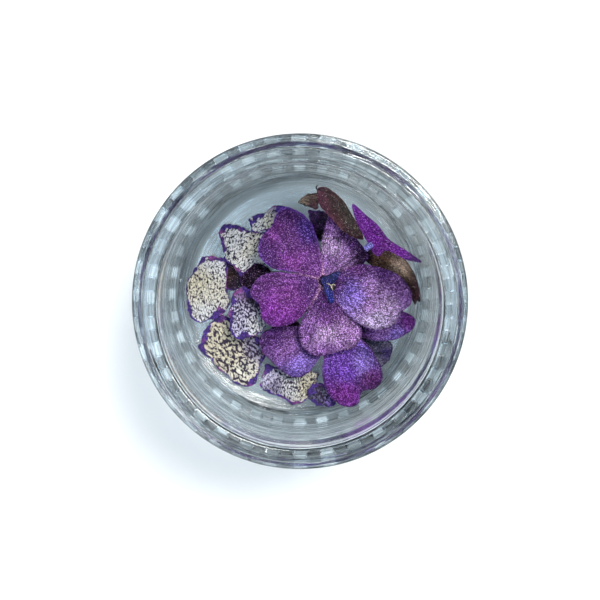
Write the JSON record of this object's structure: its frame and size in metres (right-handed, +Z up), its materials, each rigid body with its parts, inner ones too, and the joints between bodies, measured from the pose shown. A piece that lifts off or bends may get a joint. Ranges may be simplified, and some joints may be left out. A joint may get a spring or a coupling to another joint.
{
  "type": "dried hydrangea in a glass jar",
  "caption": "Low clear glass jar with a screw neck and no lid, holding a loose heap of dried purple hydrangea florets and cream mottled petals.",
  "frame": {"origin": "centre of the jar's foot, on the surface that it stands on", "axes": "+Z up, along the jar's axis; the heap is seen from above with +Y up the picture and +X to the right"},
  "size_m": [0.06, 0.06, 0.045],
  "materials": {
    "clear_glass": "clear, smooth",
    "plum_petal": "dry, velvety",
    "violet_petal": "dry, velvety",
    "dark_plum_petal": "dry, dull",
    "ink_blue_eye": "dry, dull",
    "mauve_brown_petal": "dry, slightly glossy",
    "dark_brown_petal": "dry, slightly glossy",
    "cream_petal": "dry, papery, mottled, purple edge",
    "slate_petal": "dry, dull",
    "taupe_petal": "dry, translucent"
  },
  "bodies": {
    "root": {"jar": "clear_glass", "main_floret": "plum_petal", "main_floret_eye": "ink_blue_eye", "lower_floret": "violet_petal", "under_floret": "dark_plum_petal", "wall_floret": "violet_petal", "wall_brown_petal": "mauve_brown_petal", "wall_dark_petal": "dark_brown_petal", "cream_petal_top": "cream_petal", "cream_petal_upper": "cream_petal", "cream_petal_left": "cream_petal", "cream_petal_inner": "cream_petal", "cream_petal_lower_left": "cream_petal", "cream_petal_bottom": "cream_petal", "dark_petal_left": "dark_plum_petal", "slate_petal_right": "slate_petal", "slate_scrap_bottom": "slate_petal", "tucked_petal": "dark_plum_petal", "curled_petal": "taupe_petal"}
  },
  "joints": []
}
